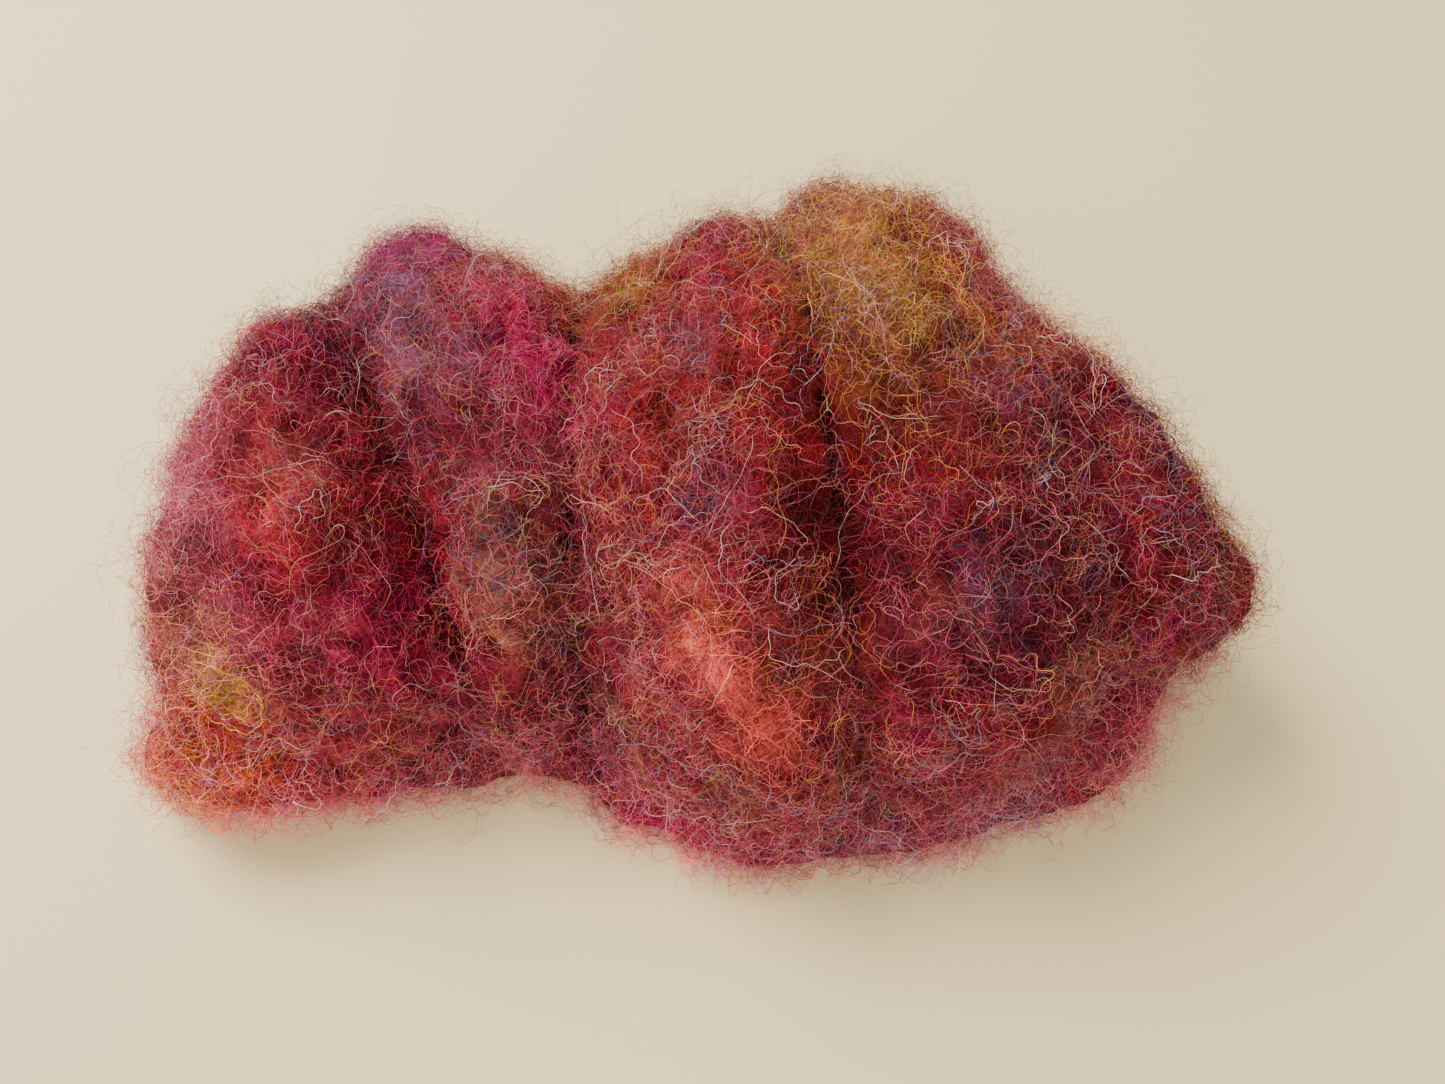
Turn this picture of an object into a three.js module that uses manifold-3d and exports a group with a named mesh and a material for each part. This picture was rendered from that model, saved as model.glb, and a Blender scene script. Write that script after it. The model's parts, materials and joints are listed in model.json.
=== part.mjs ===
// A hand-sized batt of carded wool, gathered up off the carder and set down on a table.
//
// The batt is one soft web of blended fibre that has been folded back and forth across its length. The folds
// stand side by side and run from front to back. They make a low left mound, a narrower waist and a taller right
// mound, and they rest on the web's last layer, whose thin edges show in front. Locks of fibre that the carding
// left unblended lie in the surface as small, flat pieces of one colour.
//
// Millimetres. +X runs along the batt to its right end, +Y away from the front, +Z up. The last step puts the
// origin on the table, below the middle of the batt.

import * as THREE from "three";
import { mergeVertices } from "three/addons/utils/BufferGeometryUtils.js";
import Module from "manifold-3d";

const wasm = await Module();
wasm.setup();

// Driving dimensions
const BATT_LENGTH = 160;
const BATT_DEPTH = 107;
const WEB_THICKNESS = 5; // the layer that the folds rest on
const WEB_ROUNDING = 1.6; // radius of that layer's edges
const GAP = 0.5; // left between neighbours, so that no two pieces share space
const FRONT_BULGE = 8; // height at which a fold reaches furthest forward
const BACK_BULGE = 18; // height at which it reaches furthest back
const CREASE_DEPTH = 6; // how far the surface sinks where two folds meet
const CREASE_REACH = 11; // how far from the crease that sinking starts
const LUMP = 1.3; // height of the soft lumps in the surface
const LOCK_SINK = 0.35; // how much of a lock's half height lies below the wool around it

// How finely the soft pieces are faceted
const ROUND_STEPS = 28;
const FOLD_STEPS = 8;
const WEB_STEPS = 72;
const SLIVER = 0.05; // cuts leave no edge shorter than this
const ROLL_ROUND_STEPS = 10;
const ROLL_LENGTH_STEPS = 10;

// Sections through the folds, from left to right: x, front, back, top and bottom.
const STATIONS = [
  [-81, -33, -12, 26, 12],
  [-79, -39, 0, 32, 8],
  [-73, -42, 15, 39, 5.3],
  [-62, -42, 32, 44, 5.3],
  [-48, -42, 42, 46, 5.3],
  [-34, -41, 39, 45, 5.3],
  [-18, -42, 39, 42, 5.3],
  [-6, -48, 43, 47, 5.3],
  [10, -52, 50, 52, 5.3],
  [24, -50, 50, 54, 5.3],
  [38, -46, 38, 52, 5.3],
  [50, -40, 19, 48, 8],
  [62, -32, 1, 40, 10],
  [70, -28, -10, 32, 12],
  [75, -24, -15, 26, 17],
];

// The x of each crease, and of the two ends, at five places from the front's foot over the top to the back.
const CREASES = [
  [-81, -81, -81, -81, -81],
  [-34, -37, -48, -61, -68],
  [-19, -20, -21, -23, -25],
  [20, 17, 13, 9, 2],
  [53, 50, 45, 42, 40],
  [75, 75, 75, 75, 75],
];

// One fold for each space between two creases.
const FOLDS = [
  { name: "left_outer_fold", colour: 0xa83350 },
  { name: "left_ridge_fold", colour: 0x8a2a44 },
  { name: "centre_fold", colour: 0x8c1f2a },
  { name: "right_ridge_fold", colour: 0x6e1426 },
  { name: "right_flap", colour: 0x7c1526 },
];

// Low rolls of the web that show from under the folds. Each follows a line of points above the web. A roll's
// size is its half width and half height.
const UNDER_ROLLS = [
  {
    name: "left_front_roll",
    colour: 0xe07a35,
    size: [6, 4.4],
    line: [[-83, -38, 10], [-70, -42, 10], [-54, -43, 9]],
  },
  {
    name: "right_under_roll",
    colour: 0x9c1230,
    size: [9, 5.4],
    line: [[58, -12, 11], [60, -26, 11], [52, -43, 10]],
  },
];

// Locks of one colour that the carding left whole. Each lies on a fold, from one place to another. A place is how far
// it is across the fold, from its left crease to its right, and how far over it, from the front's foot to the back's.
const LOCKS = [
  { name: "magenta_lock", colour: 0xd3207a, size: [5, 3], fold: 1, from: [0.2, 0.7], to: [0.5, 0.7] },
  { name: "mauve_lock", colour: 0x9a6f86, size: [4.5, 2.8], fold: 1, from: [0.1, 0.6], to: [0.2, 0.5] },
  { name: "hot_pink_lock", colour: 0xf0287f, size: [3.5, 2.6], fold: 1, from: [0.7, 0.6], to: [0.9, 0.5] },
  { name: "red_lock", colour: 0xc4102c, size: [4, 2.8], fold: 0, from: [0.6, 0.4], to: [0.6, 0.3] },
  { name: "yellow_lock", colour: 0xe2b53c, size: [3, 2.4], fold: 0, from: [0.3, 0.2], to: [0.4, 0.15] },
  { name: "blue_grey_lock", colour: 0x6c6a86, size: [3.5, 2.6], fold: 1, from: [0.2, 0.3], to: [0.7, 0.3] },
  { name: "peach_lock", colour: 0xe59a7c, size: [3, 2.4], fold: 1, from: [0.4, 0.25], to: [0.6, 0.2] },
  { name: "mustard_lock", colour: 0xc79a2e, size: [4, 2.8], fold: 2, from: [0.1, 0.7], to: [0.4, 0.7] },
  { name: "orange_red_lock", colour: 0xd7431f, size: [4.5, 2.8], fold: 2, from: [0.7, 0.6], to: [0.8, 0.5] },
  { name: "coral_lock", colour: 0xf2603a, size: [4, 3], fold: 2, from: [0.4, 0.3], to: [0.7, 0.15] },
  { name: "gold_lock", colour: 0xd9a441, size: [7, 3.2], fold: 3, from: [0.1, 0.7], to: [0.3, 0.5] },
  { name: "orange_lock", colour: 0xdf6f30, size: [4, 2.8], fold: 3, from: [0.6, 0.6], to: [0.8, 0.5] },
  { name: "plum_lock", colour: 0x5a2140, size: [4, 2.8], fold: 3, from: [0.4, 0.35], to: [0.5, 0.2] },
  { name: "cerise_lock", colour: 0xcf1450, size: [3, 2.4], fold: 3, from: [0.1, 0.2], to: [0.3, 0.15] },
  { name: "rose_lock", colour: 0xd9386a, size: [3, 2.4], fold: 4, from: [0.3, 0.25], to: [0.5, 0.2] },
];

// The bottom layer's outline, anticlockwise from its right end.
const WEB_OUTLINE = [
  [64, -20], [56, 2], [44, 22], [28, 38], [10, 42], [-8, 34], [-22, 24], [-38, 34], [-56, 30],
  [-72, 14], [-81, -2], [-85, -22], [-86, -36], [-80, -43], [-66, -45], [-44, -44], [-24, -43],
  [-10, -51], [8, -55], [28, -53], [44, -49], [62, -43], [68, -34],
];

const UP = new THREE.Vector3(0, 0, 1);

const wool = (colour) => new THREE.MeshStandardMaterial({ color: colour, roughness: 0.95, metalness: 0 });

function toSolid(geometry) {
  const bare = geometry.clone();
  bare.deleteAttribute("normal");
  bare.deleteAttribute("uv");
  const merged = mergeVertices(bare, 1e-4);
  return new wasm.Manifold(
    new wasm.Mesh({
      numProp: 3,
      vertProperties: merged.attributes.position.array,
      triVerts: new Uint32Array(merged.index.array),
    }),
  );
}

function toMesh({ name, colour, solid }) {
  const shape = solid.getMesh();
  const geometry = new THREE.BufferGeometry();
  geometry.setAttribute("position", new THREE.BufferAttribute(shape.vertProperties, 3));
  geometry.setIndex(new THREE.BufferAttribute(shape.triVerts, 1));
  geometry.computeVertexNormals();
  const mesh = new THREE.Mesh(geometry, wool(colour));
  mesh.name = name;
  return mesh;
}

// Everything below a height, for cutting a flat underside.
function below(height) {
  const depth = 200;
  const block = new THREE.BoxGeometry(4 * BATT_LENGTH, 4 * BATT_DEPTH, depth);
  block.translate(0, 0, height - depth / 2);
  return toSolid(block);
}

// A smooth curve through one column of a table, against the table's first column.
function smooth(rows, column) {
  const places = rows.map((row) => row[0]);
  const values = rows.map((row) => row[column]);
  const curve = new THREE.CubicInterpolant(places, values, 1, new Float64Array(1));
  return (place) => curve.evaluate(place)[0];
}

const frontAt = smooth(STATIONS, 1);
const backAt = smooth(STATIONS, 2);
const topAt = smooth(STATIONS, 3);
const bottomAt = smooth(STATIONS, 4);
const creaseAt = CREASES.map((row) => smooth(row.map((x, i) => [i / (row.length - 1), x]), 1));

// A point of the section at x. The angle runs from the front (0) over the top to the back (PI) and home below.
function sectionPoint(x, angle, inset) {
  const forward = Math.cos(angle);
  const rise = Math.sin(angle);
  const isFront = forward > 0;
  const middle = (frontAt(x) + backAt(x)) / 2;
  const bulge = THREE.MathUtils.lerp(FRONT_BULGE, BACK_BULGE, (1 - forward) / 2);
  const level = Math.max(bulge, bottomAt(x) + 2);
  const lump = LUMP * Math.max(0, rise) * (Math.sin(x / 7 + 3 * angle) + Math.sin(x / 4.3 - 5 * angle));
  const shrink = lump - inset;
  const reach = (backAt(x) - frontAt(x)) / 2 + shrink;
  const y = middle - Math.sign(forward) * Math.abs(forward) ** (isFront ? 1 : 0.8) * reach;
  const z = rise > 0
    ? level + rise ** (isFront ? 1 : 0.85) * (topAt(x) - level + shrink)
    : level - Math.min(1, 1.5 * Math.abs(rise) ** 0.8) * (level - bottomAt(x));
  return new THREE.Vector3(x, y, z);
}

// One fold: the slice of the batt between two creases, with its edges rounded down into them.
function foldSolid(index) {
  const hasLeft = index > 0;
  const hasRight = index < FOLDS.length - 1;
  const geometry = new THREE.CylinderGeometry(1, 1, 1, ROUND_STEPS, FOLD_STEPS);
  const position = geometry.attributes.position;
  const point = new THREE.Vector3();
  for (let i = 0; i < position.count; i += 1) {
    point.fromBufferAttribute(position, i);
    const across = point.y + 0.5;
    const isCapMiddle = Math.hypot(point.x, point.z) < 0.5;
    const angle = (Math.atan2(point.z, point.x) + 2 * Math.PI) % (2 * Math.PI);
    const overTop = isCapMiddle ? 0.5 : Math.min(angle, 2 * Math.PI - angle) / Math.PI;
    const xLeft = creaseAt[index](overTop);
    const xRight = creaseAt[index + 1](overTop);
    const x = THREE.MathUtils.lerp(xLeft, xRight, across);
    const toCrease = Math.min(hasLeft ? x - xLeft : Infinity, hasRight ? xRight - x : Infinity);
    const nearness = Math.max(0, 1 - toCrease / Math.min(CREASE_REACH, (xRight - xLeft) / 2));
    const place = isCapMiddle
      ? new THREE.Vector3(x, (frontAt(x) + backAt(x)) / 2, (topAt(x) + bottomAt(x)) / 2)
      : sectionPoint(x, angle, CREASE_DEPTH * nearness ** 2);
    place.x += THREE.MathUtils.lerp(hasLeft ? GAP / 2 : 0, hasRight ? -GAP / 2 : 0, across);
    position.setXYZ(i, place.x, place.y, place.z);
  }
  return toSolid(geometry);
}

// A soft, blunt-ended roll along a line of { point, up }.
function rollSolid({ line, size: [halfWidth, halfHeight] }, grow = 0) {
  const spine = new THREE.CatmullRomCurve3(line.map(({ point }) => point));
  const ups = new THREE.CatmullRomCurve3(line.map(({ up }) => up));
  const geometry = new THREE.SphereGeometry(1, ROLL_ROUND_STEPS, ROLL_LENGTH_STEPS);
  const position = geometry.attributes.position;
  const point = new THREE.Vector3();
  for (let i = 0; i < position.count; i += 1) {
    point.fromBufferAttribute(position, i);
    const along = (1 - point.y) / 2;
    const spread = Math.hypot(point.x, point.z) ** 0.7;
    const angle = Math.atan2(point.z, point.x);
    const ahead = spine.getTangent(along);
    const side = new THREE.Vector3().crossVectors(ahead, ups.getPoint(along)).normalize();
    const up = new THREE.Vector3().crossVectors(side, ahead);
    const place = spine.getPoint(along);
    place.addScaledVector(side, Math.cos(angle) * spread * (halfWidth + grow));
    place.addScaledVector(up, -Math.sin(angle) * spread * (halfHeight + grow));
    place.addScaledVector(ahead, -point.y * grow);
    position.setXYZ(i, place.x, place.y, place.z);
  }
  return toSolid(geometry);
}

function webSolid() {
  const corners = WEB_OUTLINE.map(([x, y]) => new THREE.Vector3(x, y, 0));
  const outline = new THREE.CatmullRomCurve3(corners, true).getPoints(WEB_STEPS).slice(0, -1);
  const shape = new THREE.Shape(outline.map(({ x, y }) => new THREE.Vector2(x, y)));
  const slab = new THREE.ExtrudeGeometry(shape, {
    depth: WEB_THICKNESS - 2 * WEB_ROUNDING,
    bevelThickness: WEB_ROUNDING,
    bevelSize: WEB_ROUNDING,
    bevelOffset: -WEB_ROUNDING,
    bevelSegments: 2,
  });
  return toSolid(slab.translate(0, 0, WEB_ROUNDING));
}

const pieces = [{ name: "bottom_web", colour: 0x9a3a4c, solid: webSolid() }];
const underside = below(WEB_THICKNESS + 0.3);

FOLDS.forEach((fold, index) => pieces.push({ ...fold, solid: foldSolid(index).subtract(underside) }));

// Adds a roll, and cuts room for it in every fold.
function setInto(folds, shape) {
  const room = rollSolid(shape, GAP);
  for (const fold of folds) fold.solid = fold.solid.subtract(room).simplify(SLIVER);
  return { ...shape, solid: rollSolid(shape).subtract(underside) };
}

const folds = pieces.slice(1);
for (const roll of UNDER_ROLLS) {
  const line = roll.line.map((place) => ({ point: new THREE.Vector3(...place), up: UP }));
  pieces.push(setInto(folds, { ...roll, line }));
}

// The highest point of the wool at a place in plan, and the way its surface faces there.
const wholeFolds = folds.map(toMesh);
function surfaceAt([x, y], sink) {
  const caster = new THREE.Raycaster(new THREE.Vector3(x, y, 200), UP.clone().negate());
  const { point, face } = caster.intersectObjects(wholeFolds)[0];
  return { point: point.addScaledVector(face.normal, -sink), up: face.normal };
}

// Where a place on a fold is in plan.
function planOf(fold, [across, over]) {
  const x = THREE.MathUtils.lerp(creaseAt[fold](over), creaseAt[fold + 1](over), across);
  return [x, sectionPoint(x, Math.PI * over, 0).y];
}

for (const lock of LOCKS) {
  const middle = lock.from.map((share, i) => (share + lock.to[i]) / 2);
  const places = [lock.from, middle, lock.to].map((place) => planOf(lock.fold, place));
  const line = places.map((place) => surfaceAt(place, LOCK_SINK * lock.size[1]));
  pieces.push(setInto(folds, { ...lock, line }));
}

const batt = new THREE.Group();
for (const piece of pieces) batt.add(toMesh(piece));
const middle = new THREE.Box3().setFromObject(batt).getCenter(new THREE.Vector3());
for (const mesh of batt.children) mesh.geometry.translate(-middle.x, -middle.y, 0);

export default batt;
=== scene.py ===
# A folded batt of hand-dyed carded wool on a table.
#
# Each piece of the batt is a wool body, which is an uneven, matted version of its solid, and the loose fibres
# that crimp and curl over it. Lengths in this file are millimetres unless a comment says otherwise.

import json
import math

import bpy
import numpy as np
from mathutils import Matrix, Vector
from mathutils.bvhtree import BVHTree

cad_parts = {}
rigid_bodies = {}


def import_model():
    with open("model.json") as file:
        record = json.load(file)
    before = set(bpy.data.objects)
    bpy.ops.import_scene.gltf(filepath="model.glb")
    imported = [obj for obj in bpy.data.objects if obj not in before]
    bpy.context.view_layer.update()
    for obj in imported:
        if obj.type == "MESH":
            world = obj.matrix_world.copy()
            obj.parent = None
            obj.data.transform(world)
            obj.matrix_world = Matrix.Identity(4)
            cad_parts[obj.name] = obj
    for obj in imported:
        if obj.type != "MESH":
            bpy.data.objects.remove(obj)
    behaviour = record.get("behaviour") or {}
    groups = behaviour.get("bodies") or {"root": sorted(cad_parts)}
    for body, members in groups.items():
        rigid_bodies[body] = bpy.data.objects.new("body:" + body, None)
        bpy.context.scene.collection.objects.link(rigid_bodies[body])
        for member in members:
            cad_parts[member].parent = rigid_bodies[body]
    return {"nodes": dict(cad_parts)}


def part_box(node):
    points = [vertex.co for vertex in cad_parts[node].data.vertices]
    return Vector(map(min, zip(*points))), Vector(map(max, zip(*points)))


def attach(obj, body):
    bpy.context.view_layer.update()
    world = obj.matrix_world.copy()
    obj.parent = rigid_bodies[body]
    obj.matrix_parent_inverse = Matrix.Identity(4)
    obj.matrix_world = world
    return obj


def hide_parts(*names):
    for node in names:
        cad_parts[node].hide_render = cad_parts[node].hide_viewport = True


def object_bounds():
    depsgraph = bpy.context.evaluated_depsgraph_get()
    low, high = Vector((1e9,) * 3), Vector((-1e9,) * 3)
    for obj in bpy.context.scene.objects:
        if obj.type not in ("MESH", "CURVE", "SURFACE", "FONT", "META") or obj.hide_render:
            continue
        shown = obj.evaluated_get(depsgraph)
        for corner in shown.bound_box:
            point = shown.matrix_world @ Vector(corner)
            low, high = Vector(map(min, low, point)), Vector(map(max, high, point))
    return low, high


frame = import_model()
cad_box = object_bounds()
MM = 0.001
nodes = {name: bpy.data.objects[name] for name in frame["nodes"]}

# ---------------------------------------------------------------- camera, light and table

# The lamps and the table are in metres: a lamp's place, what it aims at, its size, its power and its colour.
WINDOW = ((-0.5, 0.45, 0.78), (-0.03, 0, 0.02), 0.65, 19.0, (1.0, 0.98, 0.95))
ROOM = ((-0.3, -0.65, 0.8), (0, 0, 0.02), 1.0, 7.5, (1.0, 0.97, 0.94))
SKY_COLOUR = (0.95, 0.96, 1.0, 1)
SKY_STRENGTH = 0.5
TABLE_HALF = 12.0
TABLE_COLOUR = 0xEFD8A0
CAMERA_PLACE = (5.7, -87.0, 160.0)
CAMERA_TILT = 29.3  # degrees up from straight down
LENS = 27.03


def add(name, data):
    thing = bpy.data.objects.new(name, data)
    bpy.context.scene.collection.objects.link(thing)
    return thing


def make_camera():
    data = bpy.data.cameras.new("camera")
    data.lens = LENS
    data.sensor_width = 36.0
    data.clip_start = 5 * MM
    camera = add("camera", data)
    camera.location = [c * MM for c in CAMERA_PLACE]
    camera.rotation_euler = (math.radians(CAMERA_TILT), 0, 0)
    bpy.context.scene.camera = camera


def make_lamp(name, place, aim, size, power, colour):
    data = bpy.data.lights.new(name, "AREA")
    data.shape = "DISK"
    data.size = size
    data.energy = power
    data.color = colour
    lamp = add(name, data)
    lamp.location = place
    lamp.rotation_euler = (Vector(aim) - Vector(place)).to_track_quat("-Z", "Y").to_euler()


def make_world():
    world = bpy.data.worlds.new("studio")
    world.use_nodes = True
    background = world.node_tree.nodes["Background"]
    background.inputs["Color"].default_value = SKY_COLOUR
    background.inputs["Strength"].default_value = SKY_STRENGTH
    bpy.context.scene.world = world


def linear(hex_colour):
    parts = [((hex_colour >> shift) & 255) / 255 for shift in (16, 8, 0)]
    return np.array([c / 12.92 if c <= 0.04045 else ((c + 0.055) / 1.055) ** 2.4 for c in parts])


def make_table():
    mesh = bpy.data.meshes.new("table")
    corners = [(TABLE_HALF * x, TABLE_HALF * y, 0) for x, y in ((-1, -1), (1, -1), (1, 1), (-1, 1))]
    mesh.from_pydata(corners, [], [(0, 1, 2, 3)])
    material = bpy.data.materials.new("pale_table")
    material.use_nodes = True
    shader = material.node_tree.nodes["Principled BSDF"]
    shader.inputs["Base Color"].default_value = (*linear(TABLE_COLOUR), 1)
    shader.inputs["Roughness"].default_value = 0.6
    mesh.materials.append(material)
    add("table", mesh)


make_camera()
make_world()
make_lamp("window", *WINDOW)
make_lamp("room", *ROOM)
make_table()

# ---------------------------------------------------------------- dyes, and painted light and shade

DYES = {
    "crimson": 0xA40824, "raspberry": 0xB5204A, "brick": 0xB5281A, "blood": 0x6C0210, "plum": 0x561A3E,
    "scarlet": 0xDA1428, "rose": 0xDC4E70, "dusty": 0xC87486, "mauve": 0x9A6C8A, "magenta": 0xC41C78,
    "hot_pink": 0xF4187A, "coral": 0xFF6E58, "orange": 0xEE6E1E, "gold": 0xDDA038, "tan": 0xB98848,
    "mustard": 0xB8891E, "yellow": 0xF4CC48, "peach": 0xF2A888, "lilac": 0xB9A0C8, "slate": 0x666C8C,
    "olive": 0x7D7430, "cream": 0xF2E2C4, "clay": 0xBE7A6A, "rust": 0xB05A42,
}
NAMES = list(DYES)
DYE = np.array([linear(c) for c in DYES.values()])

# The share of each dye that the carding spread evenly, in the mass and in the looser fibres that lie on it.
MASS = {
    "crimson": 30, "raspberry": 18, "brick": 12, "blood": 16, "plum": 6, "rose": 5, "scarlet": 9, "orange": 3,
    "mauve": 2,
}
HAZE = {
    "raspberry": 13, "rose": 9, "dusty": 12, "clay": 16, "rust": 12, "mauve": 8, "crimson": 12, "gold": 4,
    "tan": 11, "peach": 5, "cream": 4, "lilac": 2, "plum": 4,
}
GUARD = {"cream": 25, "tan": 20, "gold": 20, "peach": 20, "lilac": 15}

# The middles of the thirds of a node's box, across it and from front to back.
LEFT, MIDDLE, RIGHT = 1 / 6, 1 / 2, 5 / 6
FRONT, BACK = LEFT, RIGHT

# How far a dye, or another change at a place, spreads.
FLECK, SPOT, PATCH, AREA = 4, 7, 11, 22

# Where one dye gathers on a fold, a roll or the web: how far across it and from front to back, the dye, how
# far it spreads and how strong it is.
PATCHES = {
    "left_outer_fold": [
        (LEFT, MIDDLE, "dusty", PATCH, 1.6), (LEFT, MIDDLE, "hot_pink", FLECK, 1.4),
        (LEFT, FRONT, "peach", SPOT, 0.9), (LEFT, BACK, "dusty", PATCH, 0.8),
        (MIDDLE, MIDDLE, "crimson", PATCH, 1.4), (MIDDLE, BACK, "plum", SPOT, 1.0),
        (MIDDLE, FRONT, "rose", PATCH, 0.9), (RIGHT, FRONT, "hot_pink", SPOT, 0.9),
        (RIGHT, MIDDLE, "crimson", SPOT, 1.2),
    ],
    "left_ridge_fold": [
        (LEFT, BACK, "mauve", PATCH, 0.8), (MIDDLE, BACK, "magenta", SPOT, 0.6),
        (MIDDLE, MIDDLE, "mauve", PATCH, 1.0), (RIGHT, FRONT, "peach", SPOT, 0.6),
        (MIDDLE, FRONT, "rose", PATCH, 0.7), (RIGHT, MIDDLE, "rose", SPOT, 0.7),
    ],
    "centre_fold": [
        (LEFT, BACK, "brick", PATCH, 0.8), (RIGHT, BACK, "blood", PATCH, 0.7),
        (LEFT, MIDDLE, "raspberry", SPOT, 0.6), (MIDDLE, MIDDLE, "brick", PATCH, 1.0),
        (LEFT, FRONT, "plum", SPOT, 0.8), (MIDDLE, FRONT, "rose", PATCH, 0.8),
        (RIGHT, FRONT, "gold", SPOT, 0.4),
    ],
    "right_ridge_fold": [
        # The wide blood in the middle is partly the fold's darker dye and partly painted shade, on the side
        # away from the window.
        (MIDDLE, MIDDLE, "blood", AREA, 0.6), (LEFT, MIDDLE, "blood", PATCH, 1.2),
        (LEFT, FRONT, "crimson", SPOT, 0.8), (MIDDLE, FRONT, "rose", SPOT, 0.5),
        (RIGHT, MIDDLE, "gold", SPOT, 0.4), (RIGHT, FRONT, "plum", PATCH, 0.6),
    ],
    # The wide blood in the middle is partly the flap's darker dye and partly painted shade, on the side away
    # from the window.
    "right_flap": [(MIDDLE, MIDDLE, "blood", AREA, 0.6), (RIGHT, FRONT, "olive", FLECK, 0.8)],
    "right_under_roll": [(MIDDLE, FRONT, "rose", SPOT, 1.4)],
    "left_front_roll": [
        (LEFT, FRONT, "gold", SPOT, 1.6), (LEFT, BACK, "rose", SPOT, 1.0),
        (MIDDLE, FRONT, "orange", SPOT, 2.4), (RIGHT, BACK, "scarlet", SPOT, 1.0),
    ],
    "bottom_web": [
        (LEFT, FRONT, "rose", PATCH, 0.8), (MIDDLE, 0, "hot_pink", SPOT, 2.2),
        (RIGHT, 0, "lilac", SPOT, 0.9), (RIGHT, FRONT, "mustard", FLECK, 0.8),
    ],
}

# The dyes that gather along each lock, and how strong they are. They fade away from the lock's middle line.
LOCK_DYES = {
    "magenta_lock": {"magenta": 2.4},
    "mauve_lock": {"mauve": 1.2},
    "hot_pink_lock": {"hot_pink": 3.6},
    "red_lock": {"scarlet": 1.4},
    "yellow_lock": {"yellow": 5, "gold": 1.0},
    "blue_grey_lock": {"slate": 1.2},
    "peach_lock": {"peach": 1.2},
    "mustard_lock": {"mustard": 2.4, "yellow": 1.0},
    "orange_red_lock": {"scarlet": 1.0},
    "coral_lock": {"coral": 5},
    "gold_lock": {"gold": 1.2, "yellow": 0.5, "tan": 0.7},
    "orange_lock": {"orange": 1.0},
    "plum_lock": {"plum": 1.0},
    "cerise_lock": {"hot_pink": 1.2},
    "rose_lock": {"hot_pink": 1.2},
}
LOCK_SPREAD = 0.95  # of a lock's half width
DRAWN_OUT = 0.6  # how much a dye is drawn out along the carding, from 0 to 1

# Valleys where one fold meets another: how far back each goes, as a share of the first fold's depth, how wide
# and deep it is, the share of loose fibres missing from it, and the dyes that gather there.
VALLEYS = [
    dict(
        between=("left_outer_fold", "left_ridge_fold"), back=0.7, width=6.5, depth=3.5, bare=0.9,
        dyes={"crimson": 3.4, "scarlet": 0.9},
    ),
    # The dark blood in this valley is partly painted shade of the crease.
    dict(
        between=("right_ridge_fold", "centre_fold"), back=0.5, width=8, depth=1.0, bare=0.7,
        dyes={"blood": 2.6},
    ),
]

# Near the table the wool is thin and pale: the dyes that show there, how high they reach, how strong they are
# and how much lighter the fibres are, which is painted light for light shining through the thin wool and off
# the table.
RIM = {"rose": 5, "dusty": 5, "raspberry": 3, "lilac": 2, "peach": 2}
RIM_HEIGHT = 13
RIM_STRENGTH = 1.6
RIM_PAINTED_LIGHT = 0.5

# Where the loose fibres are sparse and the mass shows: across, from front to back, spread and share missing.
BARE = {
    "left_outer_fold": [(MIDDLE, MIDDLE, SPOT, 0.5)],
    "centre_fold": [(MIDDLE, BACK, PATCH, 0.4)],
    "right_ridge_fold": [(RIGHT, FRONT, SPOT, 0.4)],
}
BARE_LOCKS = {"red_lock": 0.6, "coral_lock": 0.9, "hot_pink_lock": 0.6, "yellow_lock": 0.7, "rose_lock": 0.4}

# Where the wool is painted lighter than its dyes, as painted light on the lit left flank and on the thin front
# roll and
# web: across, from front to back, spread and how much.
PAINTED_LIGHT = {
    "left_outer_fold": [(LEFT, MIDDLE, AREA, 0.4)],
    "left_front_roll": [(MIDDLE, MIDDLE, AREA, 0.4)],
    "bottom_web": [(MIDDLE, 0, PATCH, 0.2)],
}
# Locks whose wool is lighter than their dyes, and how much.
PALE_LOCKS = {"coral_lock": 0.5, "hot_pink_lock": 0.5, "yellow_lock": 0.8}

# Where the bodies swell out or, below 0, draw back: across, from front to back, spread and how far.
PUSHES = {
    "left_outer_fold": [(MIDDLE, BACK, PATCH, 2.5), (LEFT, FRONT, PATCH, -1.8)],
    "left_ridge_fold": [(LEFT, BACK, PATCH, 2.0), (RIGHT, MIDDLE, PATCH, 1.5), (RIGHT, FRONT, SPOT, 1.5)],
    "centre_fold": [(RIGHT, BACK, PATCH, 3.0)],
    "right_ridge_fold": [(RIGHT, BACK, PATCH, 2.5)],
    "right_flap": [(RIGHT, FRONT, SPOT, -1.5)],
    "right_under_roll": [(MIDDLE, MIDDLE, SPOT, -4.0)],
    "bottom_web": [(1, FRONT, PATCH, -6.0)],
}

# Small knots of one dye that the carding left all over, and how many, how large and how strong they are.
KNOTS = 260
KNOT_DYES = {
    "crimson": 14, "scarlet": 12, "orange": 5, "brick": 10, "hot_pink": 6, "rose": 10, "plum": 12, "mauve": 8,
    "slate": 5, "gold": 4, "blood": 16, "peach": 3, "olive": 3,
}
KNOT_RADIUS = (1.6, 4.5)
KNOT_STRENGTH = (0.3, 1.3)


def share_row(blend):
    row = np.array([blend.get(name, 0) for name in NAMES], float)
    return row / row.sum()


def unit(v):
    return v / (np.linalg.norm(v, axis=-1, keepdims=True) + 1e-12)


def waves(points, length, seed, count=18):
    """Smooth random values from -1 to 1 or so, whose bumps are about length apart."""
    rng = np.random.default_rng(seed)
    ways = unit(rng.normal(size=(count, 3))) * 2 * math.pi / length * rng.uniform(0.6, 1.4, (count, 1))
    turns = rng.uniform(0, 2 * math.pi, count)
    return np.cos(points @ ways.T + turns).sum(1) / math.sqrt(count)


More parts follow.
